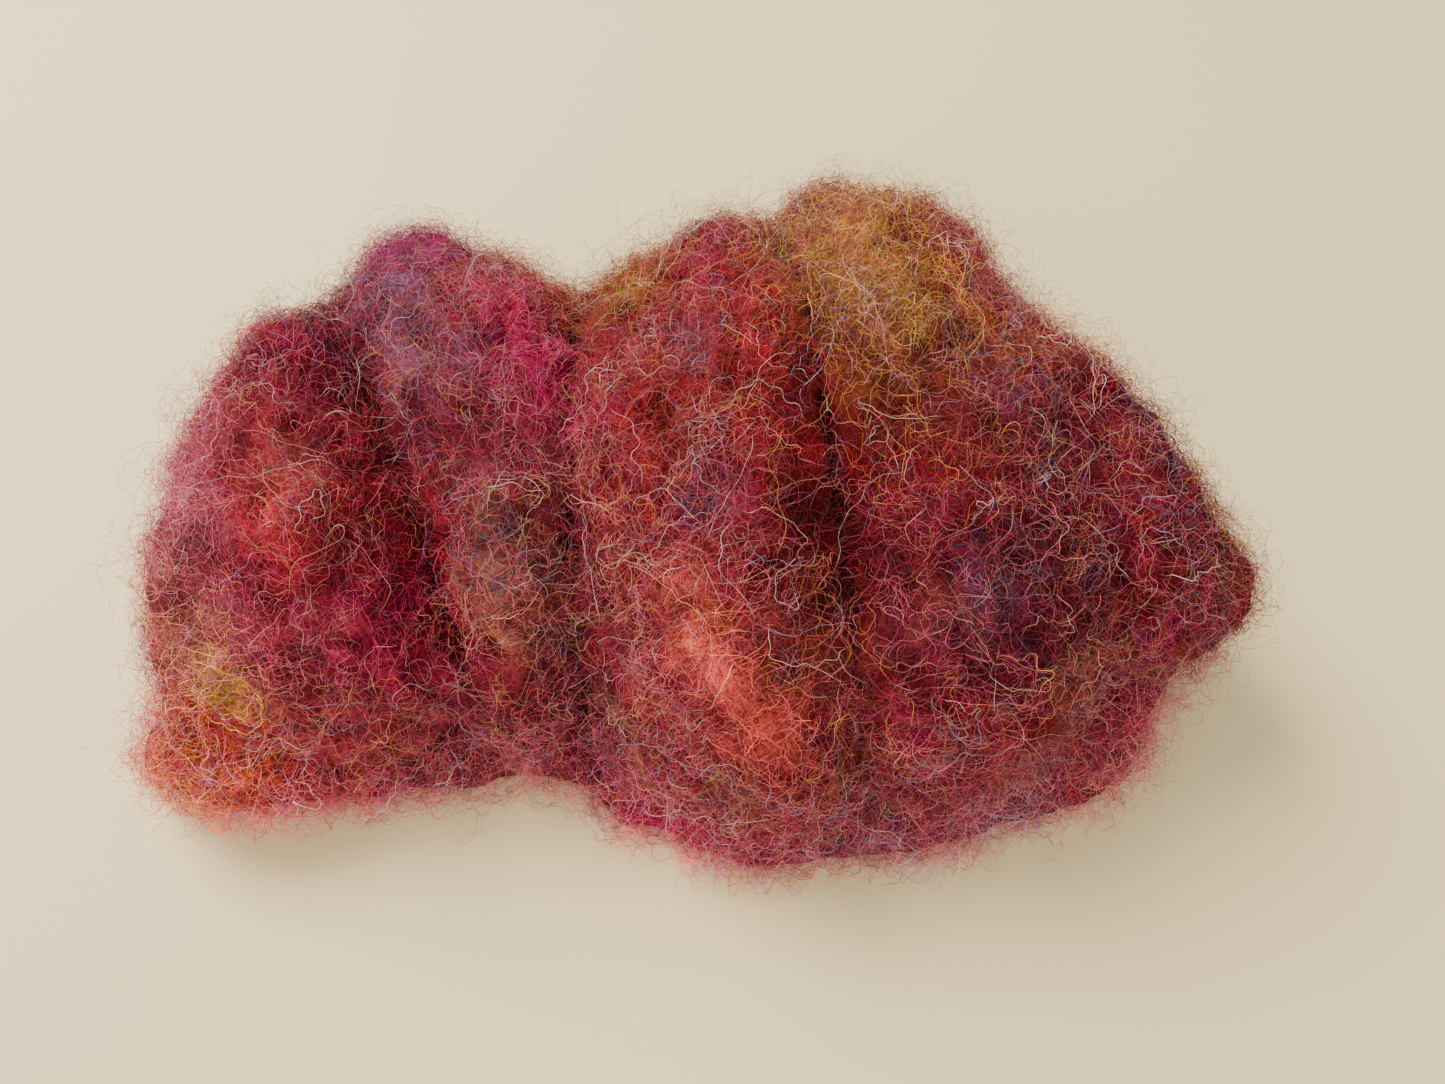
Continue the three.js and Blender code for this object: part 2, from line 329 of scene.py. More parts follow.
# ---------------------------------------------------------------- the way the carding lies


# The carding runs about front to back. In two bands it is stronger and leans to the left: the middle of each
# band across the batt, how far it spreads, how much it leans and how much stronger it is there.
BANDS = ((-42, 24, 0.5, 1.6), (50, 25, 0.45, 0.4))
PLAIN_LEAN = 0.1  # to the right, away from the bands
PLAIN_STRENGTH = 0.7
SQUEEZE = 0.65  # how far patterns are drawn out along the carding, from 0 to 1


def combing(points):
    """The way the carding lies at each point, which is about front to back, and how strong it is there."""
    lean = np.full(len(points), PLAIN_LEAN)
    strength = np.full(len(points), PLAIN_STRENGTH)
    for middle, spread, to_left, stronger in BANDS:
        near = np.exp(-(((points[:, 0] - middle) / spread) ** 2))
        lean = lean - to_left * near
        strength = strength + stronger * near
    way = np.stack([lean, np.ones(len(points)), np.zeros(len(points))], 1)
    return unit(way), strength


def squeezed(points):
    """The points drawn together along the carding, so that a pattern on them is drawn out along it."""
    way, _ = combing(points)
    return points - SQUEEZE * (points * way).sum(1, keepdims=True) * way


# ---------------------------------------------------------------- materials

RAMP_START, RAMP_END = 0.32, 0.7  # of the noise, between the darkest and the lightest wool


def dyed_material(name, scale, detail, distortion, low, high):
    """A wool material whose colour is the mesh's dye, made lighter and darker by a fine pattern."""
    material = bpy.data.materials.new(name)
    material.use_nodes = True
    shader_nodes, link = material.node_tree.nodes, material.node_tree.links.new
    shader = shader_nodes["Principled BSDF"]
    dye = shader_nodes.new("ShaderNodeAttribute")
    dye.attribute_name = "dye"
    place = shader_nodes.new("ShaderNodeTexCoord")
    pattern = shader_nodes.new("ShaderNodeTexNoise")
    pattern.inputs["Scale"].default_value = scale
    pattern.inputs["Detail"].default_value = detail
    pattern.inputs["Distortion"].default_value = distortion
    link(place.outputs["Object"], pattern.inputs["Vector"])
    ramp = shader_nodes.new("ShaderNodeValToRGB")
    ramp.color_ramp.elements[0].position = RAMP_START
    ramp.color_ramp.elements[0].color = (*low, 1)
    ramp.color_ramp.elements[1].position = RAMP_END
    ramp.color_ramp.elements[1].color = (*high, 1)
    link(pattern.outputs["Fac"], ramp.inputs["Fac"])
    mixed = shader_nodes.new("ShaderNodeMix")
    mixed.data_type = "RGBA"
    mixed.blend_type = "MULTIPLY"
    mixed.inputs["Factor"].default_value = 1
    link(dye.outputs["Color"], mixed.inputs["A"])
    link(ramp.outputs["Color"], mixed.inputs["B"])
    link(mixed.outputs["Result"], shader.inputs["Base Color"])
    return material, shader, pattern, shader_nodes, link


def matted_material():
    """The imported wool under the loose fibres, with the bumps of its matted strands."""
    material, shader, pattern, shader_nodes, link = dyed_material(
        "matted_wool", scale=900, detail=6, distortion=2.5, low=(0.2, 0.16, 0.18), high=(1.1, 1.1, 1.1)
    )
    bump = shader_nodes.new("ShaderNodeBump")
    bump.inputs["Strength"].default_value = 0.7
    bump.inputs["Distance"].default_value = 0.4 * MM
    link(pattern.outputs["Fac"], bump.inputs["Height"])
    link(bump.outputs["Normal"], shader.inputs["Normal"])
    shader.inputs["Roughness"].default_value = 0.95
    shader.inputs["Specular IOR Level"].default_value = 0.05
    return material


def fibre_material():
    """Single fibres: each has its own dye, which pales and darkens a little along it, and a soft gloss."""
    material, shader, *_ = dyed_material(
        "wool_fibre", scale=260, detail=2, distortion=0, low=(0.72, 0.66, 0.68), high=(1.22, 1.22, 1.22)
    )
    shader.inputs["Roughness"].default_value = 0.45
    shader.inputs["Specular IOR Level"].default_value = 0.3
    shader.inputs["Sheen Weight"].default_value = 0.08
    shader.inputs["Sheen Tint"].default_value = (1.0, 0.7, 0.7, 1)
    return material


MATTED = matted_material()
FIBRE = fibre_material()


def set_dye(mesh, colours):
    layer = mesh.attributes.new("dye", "FLOAT_VECTOR", "POINT")
    layer.data.foreach_set("vector", np.ascontiguousarray(colours, np.float32).ravel())


# ---------------------------------------------------------------- wool bodies


def mesh_arrays(mesh):
    points = np.empty(len(mesh.vertices) * 3)
    mesh.vertices.foreach_get("co", points)
    mesh.calc_loop_triangles()
    triangles = np.empty(len(mesh.loop_triangles) * 3, int)
    mesh.loop_triangles.foreach_get("vertices", triangles)
    return points.reshape(-1, 3) / MM, triangles.reshape(-1, 3)


def normals_of(mesh):
    normals = np.empty(len(mesh.vertices) * 3)
    mesh.vertex_normals.foreach_get("vector", normals)
    return normals.reshape(-1, 3)


# How each kind of piece is remeshed: voxel, rounds of smoothing, how far it then swells, how lumpy it is, and
# the most that it draws back. Bodies are a little smaller than their solids, as loose fibres fill the rest.
FOLD_FINISH = (1.1, 10, -1.3, 1.0, 5.0)
WEB_FINISH = (1.1, 4, -1.8, 1.5, 6.5)
ROLL_FINISH = (1.1, 4, -0.8, 0.8, 3.2)
LOCK_FINISH = (0.5, 4, -0.4, 0.5, 1.2)
LOCK_SINK = 2.0  # how far a lock settles into its fold, towards the batt's long middle line
CORE_LINE = np.array([0.8, 0.1, 0.3])
SEAM_SWELL = 0.7  # where bodies meet, they swell into each other instead
SEAM_REACH = 3.0  # how close to another node that is
LEAST_HEIGHT = 0.6  # of a solid's own height, where its body draws back
FLAT_FOOT = 4  # the height up to which a body moves less up or down, so that it stays flat on the table
LUMPS = ((0.7, 15, 1), (0.5, 7, 2), (0.35, 3.2, 3))  # the share, the size and the seed of each size of lump


def node_points(name):
    return mesh_arrays(nodes[name].data)[0]


def on_top(name, across, back):
    """The point of a node's surface, seen from above, at shares of its box across and from front to back."""
    low, high = (np.array(corner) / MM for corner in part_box(name))
    x, y = low[:2] + np.array((across, back)) * (high - low)[:2]
    points, triangles = mesh_arrays(nodes[name].data)
    tree = BVHTree.FromPolygons(points.tolist(), triangles.tolist())
    hit = tree.ray_cast(Vector((x, y, high[2] + 1)), Vector((0, 0, -1)))[0]
    if hit is None:
        hit = tree.find_nearest(Vector((x, y, (low[2] + high[2]) / 2)))[0]
    return np.array([hit])


def along(name):
    """Three points on the line that a lock follows, and the lock's half width."""
    points = node_points(name)
    middle = points.mean(0)
    _, _, axes = np.linalg.svd(points - middle, full_matrices=False)
    length, width = (np.abs((points - middle) @ axis).max() for axis in axes[:2])
    steps = np.array([[-1], [0], [1]]) * max(length - width, 0)
    return middle + steps * axes[0], width


def seam(name, other, share):
    """The upper points of one node that lie close beside another, as far back as a share of its depth."""
    points, triangles = mesh_arrays(nodes[other].data)
    tree = BVHTree.FromPolygons(points.tolist(), triangles.tolist())
    mine = node_points(name)
    close = np.array([tree.find_nearest(point)[3] < SEAM_REACH for point in mine.tolist()])
    low, high = (corner[1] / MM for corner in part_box(name))
    return mine[close & (mine[:, 2] > mine[:, 2].mean()) & (mine[:, 1] < low + share * (high - low))]


def placed(rows, locks):
    """The rows and locks as (places, spread, amount), in the frame."""
    found = [
        (on_top(name, across, back), spread, amount)
        for name, own_rows in rows.items()
        for across, back, spread, amount in own_rows
    ]
    for name, amount in locks.items():
        line, width = along(name)
        found.append((line, LOCK_SPREAD * width, amount))
    return found


def closeness(points, places, spread, way=None):
    """From 1 at the nearest of the places to 0 far from them. It reaches further along the way, if given."""
    nearest = np.full(len(points), np.inf)
    for place in places:
        away = points - place
        square = (away**2).sum(1)
        if way is not None:
            square -= DRAWN_OUT * (away * way).sum(1) ** 2
        nearest = np.minimum(nearest, square)
    return np.exp(-nearest / spread**2)


def sum_over(placed_rows, points):
    """The sum at each point of what the places add."""
    return sum((amount * closeness(points, *place) for *place, amount in placed_rows), np.zeros(len(points)))


valleys = [(seam(*valley["between"], valley["back"]), valley) for valley in VALLEYS]
pushes = placed(PUSHES, {})
pushes += [(places, valley["width"], -valley["depth"]) for places, valley in valleys]
bare_places = placed(BARE, BARE_LOCKS)
bare_places += [(places, valley["width"], valley["bare"]) for places, valley in valleys]
pale_and_painted_light_places = placed(PAINTED_LIGHT, PALE_LOCKS)


def finish_of(name):
    if name.endswith("_lock"):
        return LOCK_FINISH
    if name.endswith("_web"):
        return WEB_FINISH
    return ROLL_FINISH if name.endswith("_roll") else FOLD_FINISH


def nearness(points, name):
    """From 0 away from the other nodes to 1 where the node touches them."""
    vertices, triangles = [], []
    for other, node in nodes.items():
        if other != name:
            more, faces = mesh_arrays(node.data)
            triangles += (faces + len(vertices)).tolist()
            vertices += more.tolist()
    tree = BVHTree.FromPolygons(vertices, triangles)
    distance = np.array([tree.find_nearest(point)[3] for point in points.tolist()])
    return np.exp(-((distance / SEAM_REACH) ** 2))


def remeshed(mesh, voxel, rounds):
    """The mesh made again of even faces, without the places where it crosses itself, and smoothed."""
    source = add("source", mesh)
    remesh = source.modifiers.new("remesh", "REMESH")
    remesh.mode = "VOXEL"
    remesh.voxel_size = voxel * MM
    smooth = source.modifiers.new("smooth", "SMOOTH")
    smooth.factor = 0.5
    smooth.iterations = rounds
    graph = bpy.context.evaluated_depsgraph_get()
    made = bpy.data.meshes.new_from_object(source.evaluated_get(graph))
    bpy.data.objects.remove(source)
    bpy.data.meshes.remove(mesh)
    return made


def set_points(mesh, points):
    """Moves the mesh's points to where they are given, but none below the table."""
    points[:, 2] = points[:, 2].clip(0)
    mesh.vertices.foreach_set("co", (points * MM).ravel())
    mesh.update()


def make_body(node):
    """The matted body of one node: its solid rounded, swollen and given lumps, but flat on the table."""
    name = node.name
    voxel, rounds, swell, lumpy, most_back = finish_of(name)
    is_lock = name.endswith("_lock")
    mesh = remeshed(node.data.copy(), voxel, rounds)
    points, _ = mesh_arrays(mesh)
    outward = np.full(len(points), float(swell))
    if not is_lock:
        outward += (SEAM_SWELL - swell) * nearness(points, name) + sum_over(pushes, points)
    outward += lumpy * sum(share * waves(points, size, seed) for share, size, seed in LUMPS)
    move = normals_of(mesh) * outward.clip(-most_back)[:, None]
    move[:, 2] *= np.clip(points[:, 2] / FLAT_FOOT, 0, 1)
    thinnest = points[:, 2] * LEAST_HEIGHT
    points = points + move
    points[:, 2] = np.maximum(points[:, 2], thinnest)
    if is_lock:
        middle = points.mean(0)
        points = points + (sum_over(pushes, middle[None]) - LOCK_SINK) * unit(middle - middle * CORE_LINE)
    set_points(mesh, points)

    mesh = remeshed(mesh, voxel, 1)
    set_points(mesh, mesh_arrays(mesh)[0])
    mesh.name = name + "_wool"
    mesh.materials.clear()
    mesh.materials.append(MATTED)
    mesh.shade_smooth()
    body = add(name + "_wool", mesh)
    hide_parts(name)
    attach(body, "root")
    return body


bodies = {name: make_body(node) for name, node in nodes.items()}

# ---------------------------------------------------------------- distance to the wool

GRID = 1.8  # between the grid's points
MARGIN = 14.0  # how far from a body the distance is known
LOCK_MARGIN = 6.0
INSIDE = -0.3  # a point is inside where its way from the surface leans against the normal at least this much
CREASE_REACH = 6  # a crease is looked for this far out from the surface
CREASE_CLOSE = 4  # how much closer than that the other wool is in a deep crease
OUTLOOK = 2.5  # a face is in the open if a point this far out from it
OPEN_AIR = 0.5  # is this far from any wool
FOOT_HEIGHT = 0.6  # a face below this height
FOOT_SLOPE = -0.5  # whose normal points down more than this lies on the table


def distance_field():
    """The signed distance to the nearest body, on a grid around the batt."""
    low = np.array(cad_box[0]) / MM - MARGIN
    low[2] = -GRID
    steps = np.ceil((np.array(cad_box[1]) / MM + MARGIN - low) / GRID).astype(int) + 1
    field = np.full(steps, MARGIN)
    for name, body in bodies.items():
        points, triangles = mesh_arrays(body.data)
        tree = BVHTree.FromPolygons(points.tolist(), triangles.tolist())
        margin = LOCK_MARGIN if name.endswith("_lock") else MARGIN
        first = np.floor((points.min(0) - margin - low) / GRID).astype(int).clip(0)
        last = np.ceil((points.max(0) + margin - low) / GRID).astype(int).clip(0, steps - 1)
        for i in range(first[0], last[0] + 1):
            for j in range(first[1], last[1] + 1):
                for k in range(first[2], last[2] + 1):
                    place = Vector(low + GRID * np.array((i, j, k)))
                    near, normal, _, distance = tree.find_nearest(place)
                    if (place - near).dot(normal) < INSIDE * distance:
                        distance = -distance
                    field[i, j, k] = min(field[i, j, k], distance)
    return low, field


field_low, field = distance_field()


def at_field(points):
    """The signed distance at each point, and the way out of the wool there."""
    spot = (points - field_low) / GRID
    cell = np.floor(spot).astype(int).clip(0, np.array(field.shape) - 2)
    part = (spot - cell).clip(0, 1)
    value = np.zeros(len(points))
    slope = np.zeros((len(points), 3))
    for corner in np.ndindex(2, 2, 2):
        known = field[tuple((cell + corner).T)]
        share = [part[:, axis] if corner[axis] else 1 - part[:, axis] for axis in range(3)]
        value += known * share[0] * share[1] * share[2]
        for axis in range(3):
            others = share[(axis + 1) % 3] * share[(axis + 2) % 3]
            slope[:, axis] += known * others * (1 if corner[axis] else -1)
    return value, unit(slope)


def crease_depth(points, out):
    """From 0 on a ridge to 1 deep in a crease."""
    return ((CREASE_REACH - at_field(points + CREASE_REACH * out)[0]) / CREASE_CLOSE).clip(0, 1)


class Skin:
    """The part of a body's surface that shows, as triangles with an area each."""

    def __init__(self, body):
        points, triangles = mesh_arrays(body.data)
        self.corners = points[triangles]
        first, second, third = self.corners.transpose(1, 0, 2)
        cross = np.cross(second - first, third - first)
        self.normal = unit(cross)
        centre = self.corners.mean(1)
        is_open = at_field(centre + OUTLOOK * self.normal)[0] > OPEN_AIR
        shows = is_open & ((centre[:, 2] > FOOT_HEIGHT) | (self.normal[:, 2] > FOOT_SLOPE))
        self.area = np.where(shows, np.linalg.norm(cross, axis=1) / 2, 0)

    def sample(self, count, rng):
        """Random points of the skin, and its normals there."""
        picked = rng.choice(len(self.area), count, p=self.area / self.area.sum())
        a, b = rng.random((2, count))
        flip = a + b > 1
        a, b = np.where(flip, 1 - a, a), np.where(flip, 1 - b, b)
        first, second, third = self.corners[picked].transpose(1, 0, 2)
        points = first + a[:, None] * (second - first) + b[:, None] * (third - first)
        return points, self.normal[picked]


skins = {name: Skin(body) for name, body in bodies.items()}

# ---------------------------------------------------------------- where the dyes are, and the painted light and shade

KNOT_SEED = 7
RAGGED, RAGGED_SIZE = 1.2, 5  # how far the edge of a spot of dye wanders, and the size of its wanderings
SPOT_SHARE = 0.9  # of a spread, which is how far a dye really spreads
MASS_REACH = 1.3  # how strongly the gathered dyes show in the matted wool

# How light the matted wool is, from 0 to 1, kept dark as painted shade under its loose fibres, and how much
# streaks along the carding and specks change it.
BODY_LIGHT_IN_PAINTED_SHADE, LOCK_LIGHT_IN_PAINTED_SHADE, LEAST_LIGHT = 0.55, 0.8, 0.2
STREAK, STREAK_SIZE = 0.2, 5
SPECK, SPECK_SIZE = 0.1, 2.5


def scatter_knots():
    rng = np.random.default_rng(KNOT_SEED)
    areas = np.array([skin.area.sum() for skin in skins.values()])
    owners = rng.choice(len(areas), KNOTS, p=areas / areas.sum())
    knots = []
    for owner, skin in enumerate(skins.values()):
        points, _ = skin.sample((owners == owner).sum(), rng)
        knots += [
            (
                [point],
                rng.choice(len(NAMES), p=share_row(KNOT_DYES)),
                rng.uniform(*KNOT_RADIUS),
                rng.uniform(*KNOT_STRENGTH),
            )
            for point in points
        ]
    return knots


def gathered_dyes():
    """Every gathering of one dye, as (points, dye, spread, strength). Some dark ones are partly painted shade.
    """
    found = [
        (on_top(name, across, back), NAMES.index(dye), spread, strength)
        for name, rows in PATCHES.items()
        for across, back, dye, spread, strength in rows
    ]
    for name, dyes in LOCK_DYES.items():
        line, width = along(name)
        found += [(line, NAMES.index(dye), LOCK_SPREAD * width, strength) for dye, strength in dyes.items()]
    # The valleys' dyes; the dark blood among them is partly painted shade of the creases.
    for places, valley in valleys:
        dyes, width = valley["dyes"], valley["width"]
        found += [(places, NAMES.index(dye), width, strength) for dye, strength in dyes.items()]
    return found


spots = gathered_dyes() + scatter_knots()


def rim_share(points):
    """From 1 on the table to 0 well above it."""
    return np.exp(-((points[:, 2:] / RIM_HEIGHT) ** 2))


def dye_shares(points, blend, reach):
    """For each point, the share of each dye there. The edges of the spots are ragged."""
    shares = share_row(blend) + RIM_STRENGTH * rim_share(points) * share_row(RIM)
    way, _ = combing(points)
    ragged = points + RAGGED * np.stack([waves(points, RAGGED_SIZE, seed) for seed in (21, 22, 23)], 1)
    for places, dye, spread, strength in spots:
        shares[:, dye] += reach * strength * closeness(ragged, places, SPOT_SHARE * spread, way)
    return shares / shares.sum(1, keepdims=True)


# How much lighter the wool is: its own lightness in the pale locks, and painted light on the left flank, the
# front roll and the web.
def paleness_and_painted_light(points):
    return 1 + sum_over(pale_and_painted_light_places, points)[:, None]


# The picked dyes, lighter in the pale locks, and with painted light on the left flank, the front roll, the web
# and near the table.
def pick_dyes(points, blend, reach, rng):
    shares = dye_shares(points, blend, reach).cumsum(1)
    picked = DYE[(rng.random(len(points))[:, None] > shares).sum(1).clip(0, len(NAMES) - 1)]
    return picked * (paleness_and_painted_light(points) + RIM_PAINTED_LIGHT * rim_share(points))


# The matted wool's colour: its dyes, lighter in the pale places, and darkened as painted shade under its loose
# fibres, with streaks and specks.
def dye_body(name, body):
    points, _ = mesh_arrays(body.data)
    painted_shade_and_streaks = LOCK_LIGHT_IN_PAINTED_SHADE if name.endswith("_lock") else BODY_LIGHT_IN_PAINTED_SHADE
    painted_shade_and_streaks = painted_shade_and_streaks + STREAK * waves(squeezed(points), STREAK_SIZE, 5)
    painted_shade_and_streaks = (painted_shade_and_streaks + SPECK * waves(points, SPECK_SIZE, 6)).clip(LEAST_LIGHT, 1)
    set_dye(body.data, dye_shares(points, MASS, MASS_REACH) @ DYE * paleness_and_painted_light(points) * painted_shade_and_streaks[:, None])


for name, body in bodies.items():
    dye_body(name, body)

# ---------------------------------------------------------------- fibres

CARDED = 2.5  # how much the carding turns a fibre's start, against its own random way
TWIST = 0.35  # radians in the first mm, by which the plane that a fibre bends in turns at random
MOST_OFF = 1.5  # a fibre further off its heights than this is pulled no harder
PULL = 0.5
LOWEST_SHARE = 0.4  # of a layer's heights, in which each fibre's lowest height lies
LEAST_ROOM = 0.2  # between a fibre's lowest and highest height
FIBRE_CLEAR, TUBE_CLEAR = 0.1, 0.02  # least heights over the table of a fibre's middle line and of its side
SIDES = 3
TIP_SHARE = 1 / 8  # of a fibre's length, over which it thins to its tip
TIP_WIDTH = 0.3  # of its full width
CELL_EDGE = 0.15  # of a fibre's cell of the colour map, left free all round
FINENESS = (0.7, 1.25)  # the range of a fibre's radius, against its layer's


def grow(starts, normals, layer, rng):
    """Paths of crimped fibres that keep to a shell of heights over the wool. Shape: fibre, point, xyz."""
    wisps = -(-len(starts) // layer["wisp"])

    def each(values, spread=0.0):
        """One value for each wisp of fibres, which its fibres share but for a little."""
        own = np.repeat(values, layer["wisp"], 0)[: len(starts)]
        return own * (1 + spread * rng.normal(size=own.shape))

    step = layer["step"]
    place = starts.copy()
    way, strength = combing(place)
    ahead = each(rng.normal(size=(wisps, 3)), 0.15) + CARDED * layer["combed"] * strength[:, None] * way
    ahead = unit(ahead - (ahead * normals).sum(1, keepdims=True) * normals)
    ahead = unit(ahead + layer["lift"] * rng.random((len(starts), 1)) * normals)
    side = np.cross(ahead, normals) + each(0.5 * rng.normal(size=(wisps, 3)))
    side = unit(side - (side * ahead).sum(1, keepdims=True) * ahead)
    wide_bend = each(rng.uniform(*layer["wide_bend"], wisps), 0.1)
    wide_wave = each(2 * math.pi / rng.uniform(*layer["wide_wave"], wisps))
    crimp_bend = each(rng.uniform(*layer["crimp_bend"], wisps), 0.1)
    crimp_wave = each(2 * math.pi / rng.uniform(*layer["crimp_wave"], wisps), 0.02)
    turns = each(rng.uniform(0, 2 * math.pi, (wisps, 2)), 0.02)
    lean = each(rng.uniform(*layer["lean"], wisps) * rng.choice([-1, 0, 1], wisps), 0.1)
    low, high = layer["heights"]
    floor = low + rng.random(len(starts)) * LOWEST_SHARE * (high - low)
    ceiling = floor + rng.random(len(starts)) ** 1.5 * (1 - LOWEST_SHARE) * (high - low) + LEAST_ROOM
    place += normals * floor[:, None]
    path = [place.copy()]
    for i in range(layer["points"] - 1):
        gone = i * step
        bend = wide_bend * np.sin(wide_wave * gone + turns[:, 0]) + lean
        bend = (bend + crimp_bend * np.sin(crimp_wave * gone + turns[:, 1])) * step
        twist = rng.normal(0, TWIST * math.sqrt(step), len(starts))
        side = unit(side * np.cos(twist)[:, None] + np.cross(ahead, side) * np.sin(twist)[:, None])
        ahead = unit(ahead * np.cos(bend)[:, None] + side * np.sin(bend)[:, None])
        height, out = at_field(place)
        off = np.clip(floor - height, 0, MOST_OFF) - np.clip(height - ceiling, 0, MOST_OFF)
        ahead = unit(ahead + out * (PULL * off)[:, None])
        side = unit(side - (side * ahead).sum(1, keepdims=True) * ahead)
        place = place + ahead * step
        place[:, 2] = place[:, 2].clip(FIBRE_CLEAR)
        path.append(place.copy())
    return np.stack(path, 1)


def fibre_mesh(name, paths, radii, dyes, rng):
    """A mesh of thin closed tubes along the paths, each with its own cell of the colour map."""
    count, length, _ = paths.shape
    ahead = unit(np.gradient(paths, axis=1))
    first = unit(np.cross(ahead, unit(rng.normal(size=(count, 1, 3)))))
    second = np.cross(ahead, first)
    share = np.linspace(0, 1, length)
    taper = np.clip(np.minimum(share, 1 - share) / TIP_SHARE, TIP_WIDTH, 1)
    thick = (radii[:, None] * taper)[..., None]
    angles = [2 * math.pi * side / SIDES for side in range(SIDES)]
    rings = np.stack([paths + (first * math.cos(a) + second * math.sin(a)) * thick for a in angles], 2)
    rings[..., 2] = rings[..., 2].clip(TUBE_CLEAR)

    side = np.arange(SIDES)
    corner = np.stack([side, (side + 1) % SIDES, (side + 1) % SIDES + SIDES, side + SIDES], 1)
    base = (np.arange(count)[:, None] * length + np.arange(length - 1)) * SIDES
    quads = base[..., None, None] + corner
    start = np.arange(count)[:, None] * length * SIDES
    ends = np.concatenate([start + side[::-1], start + (length - 1) * SIDES + side])
    loops = np.concatenate([quads.ravel(), ends.ravel()])
    faces = quads.size // 4

    mesh = bpy.data.meshes.new(name)
    mesh.vertices.add(rings.size // 3)
    mesh.vertices.foreach_set("co", (rings * MM).astype(np.float32).ravel())
    mesh.loops.add(len(loops))
    mesh.loops.foreach_set("vertex_index", loops.astype(np.int32))
    mesh.polygons.add(faces + len(ends))
    firsts = np.concatenate([np.arange(faces) * 4, faces * 4 + np.arange(len(ends)) * SIDES])
    mesh.polygons.foreach_set("loop_start", firsts.astype(np.int32))
    mesh.update(calc_edges=True)
    mesh.shade_smooth()
    set_dye(mesh, np.repeat(dyes, length * SIDES, 0))
    mesh.materials.append(FIBRE)

    cells = math.ceil(math.sqrt(count))
    cell = np.stack([np.arange(count) % cells, np.arange(count) // cells], 1)
    u = np.array([0, 0, 1, 1])[None, None] + np.arange(length - 1)[:, None, None]
    v = np.array([0, 1, 1, 0])[None, None] + side[None, :, None]
    inside = np.stack(np.broadcast_arrays(u / (length - 1), v / SIDES), -1)
    tube_uv = (cell[:, None, None, None] + CELL_EDGE + (1 - 2 * CELL_EDGE) * inside[None]) / cells
    end_uv = np.repeat((cell + 0.5)[:, None] / cells, SIDES, 1)
    uv = mesh.uv_layers.new(name="OFBake")
    every_uv = np.concatenate([tube_uv.ravel(), end_uv.ravel(), end_uv.ravel()])
    uv.data.foreach_set("uv", every_uv.astype(np.float32))
    return mesh


# Layers of loose fibre. bend and lean are in radians per mm, waves in mm. wisp is how many fibres run together.
# combed and lift are how much a fibre starts along the carding and away from the surface. creased is the share
# of fibres that stay in a deep crease, and bared and patchy are how much the bare places and the thin patches
# take away. reach is how strongly the gathered dyes show, and pale is the range of lightness.
LAYERS = {
    "nap": dict(
        per_mm2=0.85, points=10, step=1.0, wisp=3, combed=0.5, lift=0.0, heights=(-0.3, 0.9), radius=0.036,
        wide_bend=(0.1, 0.5), wide_wave=(6, 14), crimp_bend=(0.2, 0.8), crimp_wave=(3.4, 6), lean=(0.0, 0.3),
        blend=MASS, reach=1.3, pale=(0.3, 1.0), creased=1.0, bared=0.0, patchy=0.0,
    ),
    "curls": dict(
        per_mm2=0.58, points=28, step=0.62, wisp=2, combed=0.35, lift=0.4, heights=(0.0, 2.4), radius=0.029,
        wide_bend=(0.15, 0.6), wide_wave=(6, 16), crimp_bend=(0.4, 1.6), crimp_wave=(2.2, 5),
        lean=(0.05, 0.45), blend=HAZE, reach=0.8, pale=(0.6, 1.35), creased=0.6, bared=1.0, patchy=0.8,
    ),
    "halo": dict(
        per_mm2=0.27, points=24, step=0.68, wisp=1, combed=0.0, lift=1.2, heights=(0.4, 6.5), radius=0.024,
        wide_bend=(0.15, 0.5), wide_wave=(6, 16), crimp_bend=(0.4, 1.5), crimp_wave=(2.4, 5),
        lean=(0.05, 0.4), blend=HAZE, reach=0.5, pale=(0.8, 1.4), creased=0.2, bared=1.0, patchy=0.5,
    ),
}
FRINGE = dict(
    per_mm2=1.5, points=16, step=0.7, wisp=2, combed=0.0, lift=1.4, heights=(0.0, 5.0), radius=0.028,
    wide_bend=(0.1, 0.4), wide_wave=(6, 16), crimp_bend=(0.3, 1.3), crimp_wave=(2.4, 5), lean=(0.0, 0.3),
    blend=HAZE, reach=1.0, pale=(0.8, 1.3), creased=0.3, bared=0.0, patchy=0.6,
)
FRINGED = {
    "bottom_web": FRINGE,
    "left_front_roll": FRINGE,
    "right_under_roll": FRINGE | dict(points=26, heights=(0.0, 8.0), pale=(0.9, 1.4)),
}
GUARD_LAYER = dict(
    points=44, step=0.7, wisp=1, combed=0.0, lift=0.6, heights=(0.6, 3.0), radius=0.021,
    wide_bend=(0.06, 0.22), wide_wave=(12, 30), crimp_bend=(0.1, 0.5), crimp_wave=(2.6, 7),
    lean=(0.0, 0.15), blend=GUARD, reach=0.0, pale=(0.6, 0.95),
)
STRAY_LAYER = dict(
    points=36, step=0.8, wisp=1, combed=0.0, lift=2.5, heights=(1.5, 10.0), radius=0.022,
    wide_bend=(0.06, 0.25), wide_wave=(12, 30), crimp_bend=(0.05, 0.5), crimp_wave=(2.6, 7),
    lean=(0.0, 0.2), blend=HAZE, reach=0.0, pale=(0.7, 1.1),
)
GUARD_HAIRS = 110
STRAYS = 110
MOST_FACES = 190000  # of triangles in one piece
LEAST_FIBRES = 4  # added to each layer, so that none is empty

# How full the thin patches are of fibres, on average, how much that varies, the patches' size and the least.
FULL, FULL_CHANGE, FULL_SIZE, LEAST_FULL = 0.6, 0.6, 7, 0.1


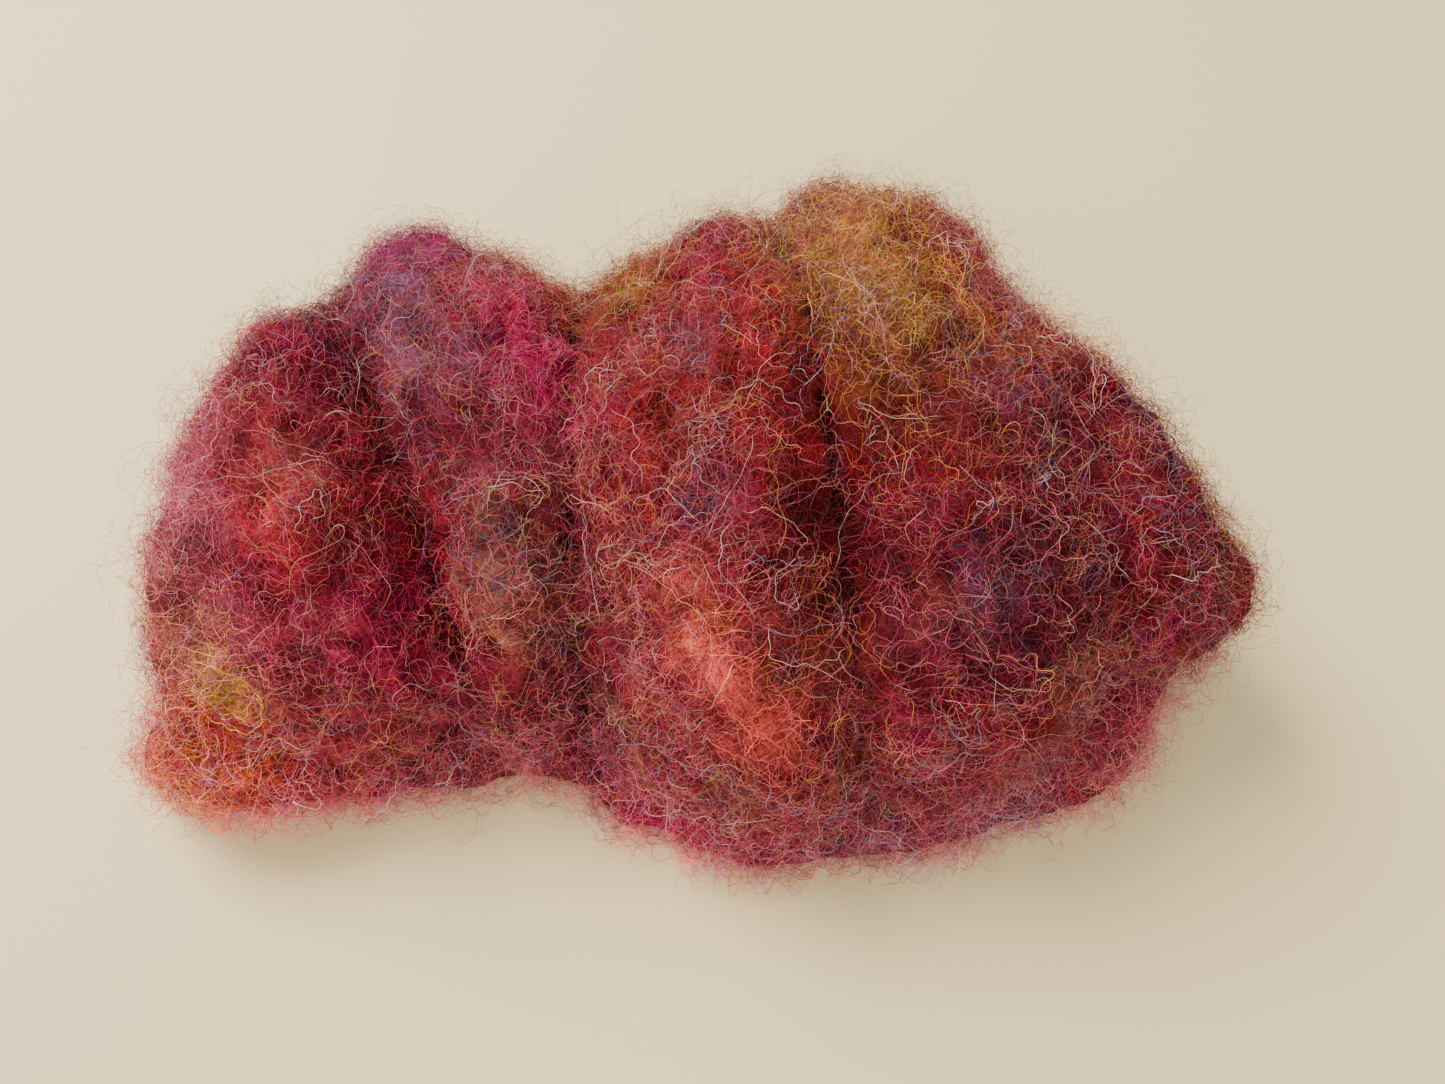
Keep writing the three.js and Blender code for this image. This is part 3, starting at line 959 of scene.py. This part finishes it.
def lay_fibres(name, starts, normals, layer, rng):
    """Grows the fibres of one layer and makes them into one or more pieces."""
    paths = grow(starts, normals, layer, rng)
    dyes = pick_dyes(starts, layer["blend"], layer["reach"], rng)
    dyes = dyes * rng.uniform(*layer["pale"], (len(starts), 1))
    radii = layer["radius"] * rng.uniform(*FINENESS, len(starts))
    most = MOST_FACES // (2 * SIDES * (layer["points"] - 1) + 2)
    pieces = -(-len(starts) // most)
    order = np.argsort(starts[:, 1], kind="stable")
    for i, part in enumerate(np.array_split(order, pieces)):
        title = name if pieces == 1 else f"{name}_{i + 1}"
        piece = add(title, fibre_mesh(title, paths[part], radii[part], dyes[part], rng))
        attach(piece, "root")


def cover(name, seed):
    """Lays every layer of fibres over one body, thinner in its creases."""
    skin = skins[name]
    layers = LAYERS | ({"fringe": FRINGED[name]} if name in FRINGED else {})
    for title, layer in layers.items():
        rng = np.random.default_rng(seed)
        seed += 1
        starts, normals = skin.sample(int(skin.area.sum() * layer["per_mm2"]) + LEAST_FIBRES, rng)
        creased = (1 - layer["creased"]) * crease_depth(starts, normals)
        bare = np.maximum(creased, layer["bared"] * sum_over(bare_places, starts))
        full = (FULL + FULL_CHANGE * waves(squeezed(starts), FULL_SIZE, 31)).clip(LEAST_FULL, 1)
        stays = rng.random(len(starts)) < (1 - bare.clip(0, 1)) * (1 - layer["patchy"] * (1 - full))
        lay_fibres(f"{name}_{title}", starts[stays], normals[stays], layer, rng)


def long_hairs(title, layer, count, seed):
    """Single long hairs here and there over the folds."""
    rng = np.random.default_rng(seed)
    folds = [name for name in skins if name.endswith(("_fold", "_flap"))]
    areas = np.array([skins[name].area.sum() for name in folds])
    counts = [round(count * area / areas.sum()) for area in areas]
    samples = [skins[name].sample(own_count, rng) for name, own_count in zip(folds, counts)]
    starts, normals = (np.concatenate(each) for each in zip(*samples))
    lay_fibres(title, starts, normals, layer, rng)


for i, name in enumerate(bodies):
    cover(name, 100 + 10 * i)
long_hairs("guard_hairs", GUARD_LAYER, GUARD_HAIRS, 99)
long_hairs("stray_hairs", STRAY_LAYER, STRAYS, 98)
